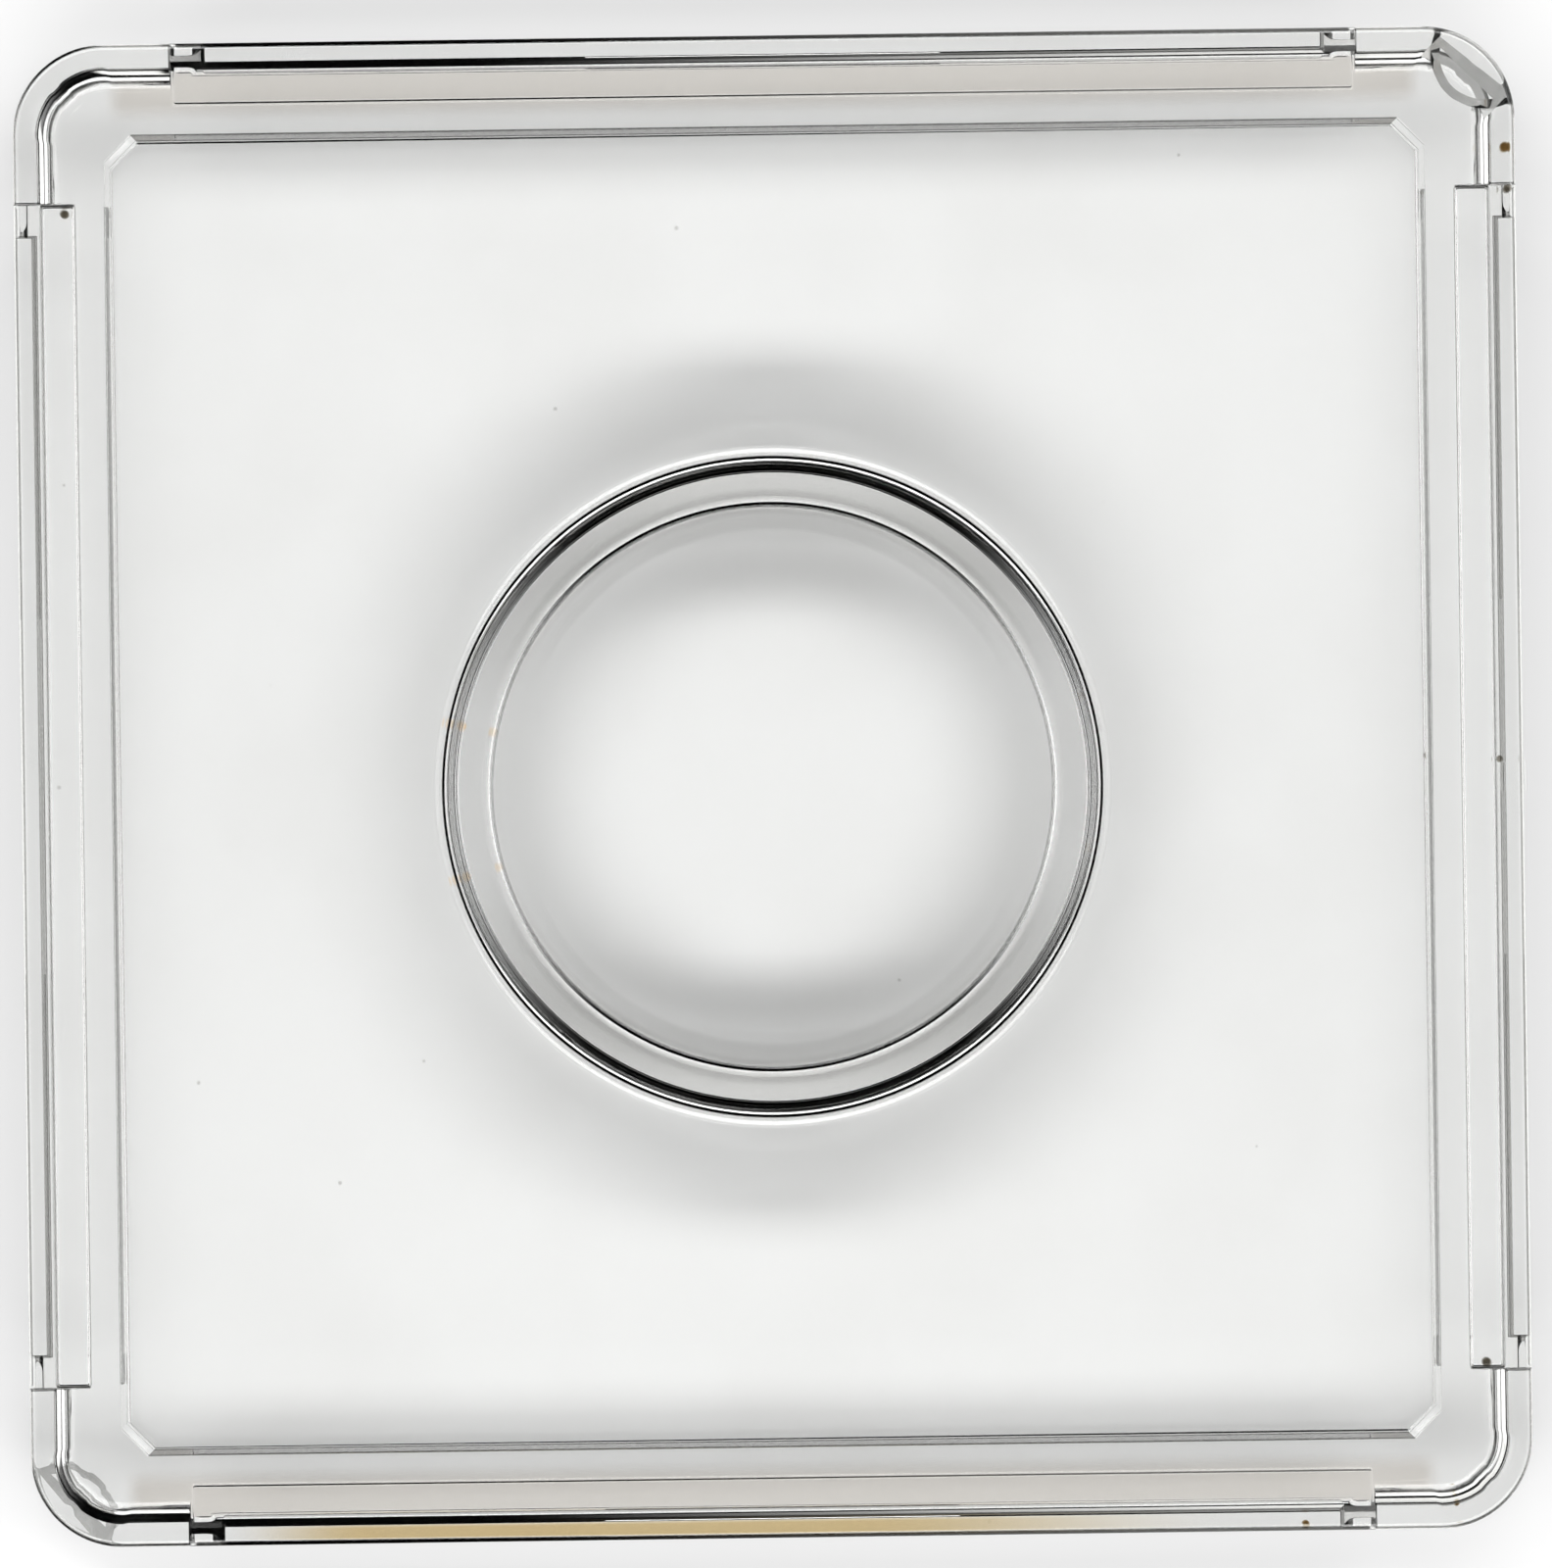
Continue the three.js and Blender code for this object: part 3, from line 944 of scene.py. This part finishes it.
    def relief(self) -> Casting:
        """The small groove in the plate beside each end of the +Y tab, which lets the tab flex."""
        middle, reach = self.edge - self.relief_inset, self.relief_depth + self.overcut
        section = [
            (middle - reach, self.plate + self.overcut), (middle, self.plate - self.relief_depth),
            (middle + reach, self.plate + self.overcut),
        ]
        gap = self.window_length / 2 - self.tab_length / 2
        groove = Casting.loft([(-gap / 2, section), (gap / 2, section)])
        groove.place(turn(QUARTER_TURN) @ Matrix.Rotation(QUARTER_TURN, 4, "X"))
        return groove.place(Matrix.Translation(((self.window_length + self.tab_length) / 4, 0, 0)))

    def rail(self) -> Casting:
        """The thick rail in the +X window."""
        lean = self.rail_draft * (self.rail_top - self.plate)
        outer = self.edge - self.rail_set
        return self.bar(
            self.window_length / 2 - self.rail_root, outer - self.rail_thickness, outer,
            self.rail_top, lean, lean, self.rail_root, self.rail_root,
        )

    def ridge(self) -> Casting:
        """A low rounded ridge along Y, with its back on the plane x = 0 and its crown towards +X."""
        half = self.ridge_width / 2
        radius = (half * half + self.ridge_height ** 2) / (2 * self.ridge_height)
        spread = math.asin(half / radius)
        crown = arc(self.ridge_height - radius, 0, radius, -spread, spread, self.ridge_steps)
        section = [(-self.embed, half), (-self.embed, -half), *crown]
        levels = [(y, [(x, z) for x, z in section]) for y in (-self.ridge_length / 2, self.ridge_length / 2)]
        return Casting.loft(levels).place(Matrix.Rotation(QUARTER_TURN, 4, "X"))

    def rail_ridge(self) -> Casting:
        """The ridge on the outside of the +X rail."""
        tab_height = self.tab_tip - self.ridge_from_tip
        height = self.thickness - tab_height + self.ridge_width + self.ridge_play
        lean = self.rail_draft * (height - self.plate)
        return self.ridge().place(Matrix.Translation((self.edge - self.rail_set - lean, 0, height)))

    def tab_ridge(self) -> Casting:
        """The ridge on the inside of the +Y tab."""
        inside = self.edge - self.tab_thickness - self.draft * self.ridge_from_tip
        place = Matrix.Translation((0, inside, self.tab_tip - self.ridge_from_tip))
        return self.ridge().place(place @ turn(-QUARTER_TURN))

    def notch(self) -> Casting:
        """The pry notch in one corner, with its foot bevelled."""
        middle = self.edge - self.notch_inset
        low = self.plate - self.notch_sink
        levels = [
            (low, self.notch_radius - self.notch_bevel), (self.plate, self.notch_radius),
            (self.parting + self.overcut, self.notch_radius),
        ]
        last = 4 * QUARTER_TURN * (self.notch_steps - 1) / self.notch_steps
        notch = Casting.loft([
            (z, arc(middle, middle, radius, 0, last, self.notch_steps - 1)) for z, radius in levels
        ])
        return notch.place(turn(self.notch_turn))

    def notch_ramp(self) -> Casting:
        """The ramp across the notch that a fingernail slides up: a groove that deepens along its length."""
        foot, reach = self.ramp_inset, self.notch_radius * 2
        levels = []
        for along, depth in zip((-self.ramp_length / 2, self.ramp_length / 2), self.ramp_depth):
            low = self.plate - self.notch_sink
            section = [
                (foot - self.ramp_slope * self.overcut, low + self.overcut),
                (foot + self.ramp_slope * depth, low - depth),
                (foot + reach, low - depth), (foot + reach, low + self.overcut),
            ]
            levels.append((along, section))
        ramp = Casting.loft(levels).place(Matrix.Rotation(QUARTER_TURN, 4, "X"))
        return ramp.place(turn(self.notch_turn + QUARTER_TURN / 2))

    def gate(self) -> Casting:
        """The stub left where the moulding was cut from its runner."""
        deep, wide = self.gate_proud + self.embed, self.gate_width
        outline = rounded_rectangle(deep / 2, wide / 2, self.gate_round, self.fine_steps)
        outline = moved(outline, self.edge + (self.gate_proud - self.embed) / 2, 0)
        low = self.edge_round
        gate = Casting.loft([(low, outline), (low + self.gate_height, outline)])
        return gate.place(turn(self.gate_turn))

    def ring(self) -> RingProfile:
        """The coin ring's section."""
        return RingProfile(
            well_radius=self.well_radius, ring_radius=self.well_radius + self.ring_wall,
            seat=self.well_floor, plate=self.plate, top=self.parting - self.ring_parting / 2,
        )

    def build(self) -> bpy.types.Object:
        """Makes the half, dresses it and puts it on its body.

        Returns:
            The finished object.
        """
        materials = [self.finish.material(facing) for facing in Facing]
        casting = self.block().cut(self.hollow())
        casting.cut(*pair(self.window()), *pair(self.window().place(turn(QUARTER_TURN))))
        casting.add(self.ring().casting(materials[0]))
        casting.add(*pair(self.tab()), *pair(self.rail()), *pair(self.tab_ridge()), *pair(self.rail_ridge()))
        mirrored = self.relief().place(Matrix.Scale(-1, 4, (1, 0, 0)))
        mirrored.thing.data.flip_normals()
        casting.cut(self.panel(), self.notch(), self.notch_ramp(), *pair(self.relief()), *pair(mirrored))
        casting.add(self.gate())
        piece = casting.thing
        piece.name = f"{self.half.value}_clear_half"
        self.finish_mesh(piece, materials)
        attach(piece, self.half.value)
        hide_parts(f"{self.half.value}_tray", f"{self.half.value}_coin_ring")
        log.info("%s: %d faces", piece.name, len(piece.data.polygons))
        return piece

    def finish_mesh(self, piece: bpy.types.Object, materials: list[bpy.types.Material]) -> None:
        """Cleans the mesh, places it, sets its shading and gives each face its material.

        Args:
            piece: the half's object.
            materials: the materials in the order of Facing.
        """
        shape = bmesh.new()
        shape.from_mesh(piece.data)
        bmesh.ops.remove_doubles(shape, verts=shape.verts, dist=MERGE_DISTANCE)
        bmesh.ops.dissolve_limit(shape, angle_limit=FLAT_ANGLE, verts=shape.verts, edges=shape.edges)
        bmesh.ops.triangulate(shape, faces=[f for f in shape.faces if len(f.verts) > 4])
        shape.to_mesh(piece.data)
        shape.free()
        piece.data.transform(Matrix.Scale(MILLIMETRE, 4) @ self.placement)
        piece.data.materials.clear()
        for material in materials:
            piece.data.materials.append(material)
        for face in piece.data.polygons:
            near = face.center.xy.length < self.ring_reach * MILLIMETRE
            edge = Facing.RING if near else Facing.EDGE
            face.material_index = (Facing.FACE if abs(face.normal.z) > self.flat else edge).value
            face.use_smooth = True
        piece.data.set_sharp_from_angle(angle=SMOOTH_ANGLE)
        weighted = piece.modifiers.new("weighted", "WEIGHTED_NORMAL")
        weighted.keep_sharp = True
        piece.data = settled(piece)
        piece.modifiers.clear()


@dataclass(frozen=True)
class PaleFloor:
    """A plain pale floor just under the holder.

    Where the plastic mirrors it, it is dark and polished, which paints shade into the plastic's inner
    reflections, but for the painted pools of light that the bands give, in millimetres from the
    holder's middle.
    """

    half: float = 1.0
    gap: float = 0.00002
    colour: Colour = (0.715, 0.715, 0.715, 1.0)
    within_colour: Colour = (0.97, 0.97, 0.97, 1.0)
    sheen: float = 0.12
    sheen_share: float = 0.04
    # Painted shade: the floor is this dark only where the plastic mirrors it.
    inner_colour: Colour = (0.18, 0.18, 0.18, 1.0)
    inner_sheen: float = 0.12
    # The colour of the painted pools of light.
    side_colour: Colour = (0.48, 0.48, 0.47, 1.0)
    # Painted pools of light seen in reflections: round the well, by the sides and posts, the tabs, one
    # corner.
    well_across: Band = Band((9.0, 9.1), (9.85, 9.95))
    well_share: float = 0.6
    side_across: Band = Band((21.0, 21.5))
    side_along: Band = Band(stop=(23.0, 24.0))
    post_along: Band = Band((20.3, 20.6), (22.6, 23.4))
    post_across: Band = Band((21.0, 22.0))
    taper_along: Band = Band((-10.0, 22.0))
    taper_across: Band = Band((23.0, 24.0))
    taper_share: float = 0.75
    corner: Band = Band((13.0, 15.0))
    corner_share: float = 0.35

    def build(self) -> None:
        """Makes the floor."""
        h = self.half
        mesh = bpy.data.meshes.new("floor")
        mesh.from_pydata([(-h, -h, 0), (h, -h, 0), (h, h, 0), (-h, h, 0)], [], [(0, 1, 2, 3)])
        mesh.transform(Matrix.Translation((0, 0, -self.gap)))
        mesh.materials.append(self.material())
        floor = bpy.data.objects.new("floor", mesh)
        bpy.context.scene.collection.objects.link(floor)

    def material(self) -> bpy.types.Material:
        """The floor's material.

        Returns:
            The material.
        """
        material = bpy.data.materials.new("pale_floor")
        material.use_nodes = True
        material.node_tree.nodes.clear()
        graph = Graph(material.node_tree)
        within = graph.node("ShaderNodeLightPath").outputs["Is Transmission Ray"]
        shade = graph.mix(Value(graph, within), self.colour, self.within_colour)
        matt = graph.node("ShaderNodeBsdfDiffuse", values={"Color": shade}).outputs[0]
        satin, polished = (
            graph.node("ShaderNodeBsdfAnisotropic", values={"Color": colour, "Roughness": rough}).outputs[0]
            for colour, rough in ((self.colour, self.sheen), (self.inner_colour, self.inner_sheen))
        )
        # A matt patch that the lamps light: the painted pools of light.
        lit = graph.node("ShaderNodeBsdfDiffuse", values={"Color": self.side_colour}).outputs[0]
        pale = graph.blend(self.sheen_share, matt, satin)
        # The painted shade and light that the plastic's inner reflections see.
        inner = graph.blend(self.lit_share(graph), polished, lit)
        depth = Value(graph, graph.node("ShaderNodeLightPath").outputs["Glossy Depth"])
        surface = graph.blend(depth.above(ONE_REFLECTION[0]), pale, inner)
        graph.node("ShaderNodeOutputMaterial", values={"Surface": surface})
        return material

    def lit_share(self, graph: Graph) -> Value:
        """Where light is painted on the floor that the plastic mirrors, and how much.

        Args:
            graph: the floor's graph.

        Returns:
            The share of the pale surface.
        """
        place = Place(graph)
        x, y = place.along("X"), place.along("Y")
        share = self.well_across.mask(place.radius()) * self.well_share
        for patch in (
            self.side_across.mask(x.size()) * self.side_along.mask(y.size()),
            self.post_along.mask(x.size()) * self.post_across.mask(y),
            self.taper_along.mask(x) * self.taper_across.mask(y.size()) * self.taper_share,
            self.corner.mask(x) * self.corner.mask(y) * self.corner_share,
        ):
            share = graph.math("MAXIMUM", share, patch)
        return share


@dataclass(frozen=True)
class StripLamps:
    """Two long strips along X, 45 degrees up on the -Y and +Y sides."""

    reach: float = 0.2
    size: Span = (0.5, 0.06)
    watts: Span = (1.08, 0.92)

    def build(self) -> None:
        """Makes the lamps."""
        for side, watts in zip((-1, 1), self.watts):
            self.lamp(f"strip_{side}", Vector((0, side * self.reach, self.reach)), watts)

    def lamp(self, name: str, place: Vector, watts: float) -> None:
        """An area lamp that points at the origin and doesn't show in the plastic itself.

        Args:
            name: of the lamp.
            place: where it hangs.
            watts: its power.
        """
        data = bpy.data.lights.new(name, "AREA")
        data.shape, data.energy = "RECTANGLE", watts
        data.size, data.size_y = self.size
        lamp = bpy.data.objects.new(name, data)
        lamp.location = place
        lamp.rotation_euler = (-place).to_track_quat("-Z", "Y").to_euler()
        lamp.visible_glossy = lamp.visible_transmission = False
        bpy.context.scene.collection.objects.link(lamp)


@dataclass(frozen=True)
class Room:
    """The world: dark, bright on the -X and +X sides, with a glare on -Y and +Y that one reflection sees.

    The bands are measured along the direction's X, Y and Z.
    """

    canopy: float = 1.7
    canopy_across: Band = Band((0.5, 0.65))
    canopy_along: Band = Band(stop=(0.15, 0.8))
    canopy_height: Band = Band((0.0, 0.3))
    glare: float = 4.0
    glare_height: Band = Band((0.42, 0.55), (0.8, 0.93))
    glare_across: Band = Band((0.25, 0.45))

    def build(self) -> None:
        """Makes the world."""
        world = bpy.data.worlds.new("studio")
        bpy.context.scene.world = world
        world.use_nodes = True
        world.node_tree.nodes.clear()
        graph = Graph(world.node_tree)
        direction = graph.node("ShaderNodeTexCoord").outputs["Generated"]
        parts = graph.node("ShaderNodeSeparateXYZ", values={0: direction}).outputs
        x, y, z = (Value(graph, parts[axis]) for axis in "XYZ")
        x, y = x.size(), y.size()
        walls = self.canopy_across.mask(x) * self.canopy_along.mask(y) * self.canopy_height.mask(z)
        depth = Value(graph, graph.node("ShaderNodeLightPath").outputs["Glossy Depth"])
        low, high = ONE_REFLECTION
        once = depth.above(low) * depth.below(high)
        glare = self.glare_height.mask(z) * self.glare_across.mask(y) * once
        strength = walls * self.canopy + glare * self.glare
        sky = graph.node("ShaderNodeBackground", values={"Color": (1, 1, 1, 1), "Strength": strength})
        graph.node("ShaderNodeOutputWorld", values={"Surface": sky.outputs[0]})


@dataclass(frozen=True)
class PhotoCamera:
    """A camera straight above the holder, with the photograph's scale, roll and centre."""

    photo_width: int = 1584
    photo_height: int = 1600
    pixels_per_mm: float = 30.18
    centre_px: Span = (788.5, 802.7)
    roll: float = math.radians(-0.8)
    distance: float = 1.5
    subject_height: float = 0.0046
    clip: Span = (0.01, 10.0)
    sensor: float = 36.0

    def build(self) -> None:
        """Makes the camera and makes it the scene's own."""
        data = bpy.data.cameras.new("camera")
        camera = bpy.data.objects.new("camera", data)
        bpy.context.scene.collection.objects.link(camera)
        bpy.context.scene.camera = camera
        long_side = max(self.photo_width, self.photo_height)
        frame_mm = long_side / self.pixels_per_mm
        data.sensor_width = self.sensor
        data.lens = self.sensor * self.distance / (frame_mm * MILLIMETRE)
        data.shift_x = (self.photo_width / 2 - self.centre_px[0]) / long_side
        data.shift_y = (self.centre_px[1] - self.photo_height / 2) / long_side
        data.clip_start, data.clip_end = self.clip
        camera.location = (0, 0, self.distance + self.subject_height)
        camera.rotation_euler = (0, 0, self.roll)
        log.info("camera: %.0f mm lens at %.2f m", data.lens, self.distance)


def main() -> None:
    """Builds the holder and its studio."""
    logging.basicConfig(level=logging.INFO, format="%(name)s: %(message)s")
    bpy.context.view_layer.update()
    settings = bpy.context.scene.cycles
    settings.max_bounces = settings.transmission_bounces = LIGHT_BOUNCES
    settings.transparent_max_bounces = CLEAR_BOUNCES
    settings.caustics_reflective = settings.caustics_refractive = False
    bpy.context.scene.view_settings.view_transform = "Standard"
    rear_place = Matrix.Rotation(QUARTER_TURN, 4, "Z")
    front_place = Matrix.Translation((0, 0, ClearHalf.thickness)) @ Matrix.Rotation(math.pi, 4, "X")
    ClearHalf(Half.REAR, QUARTER_TURN, -QUARTER_TURN, rear_place).build()
    ClearHalf(Half.FRONT, -QUARTER_TURN, 0.0, front_place).build()
    for part in (PaleFloor(), StripLamps(), Room(), PhotoCamera()):
        part.build()


if __name__ == "__main__":
    main()
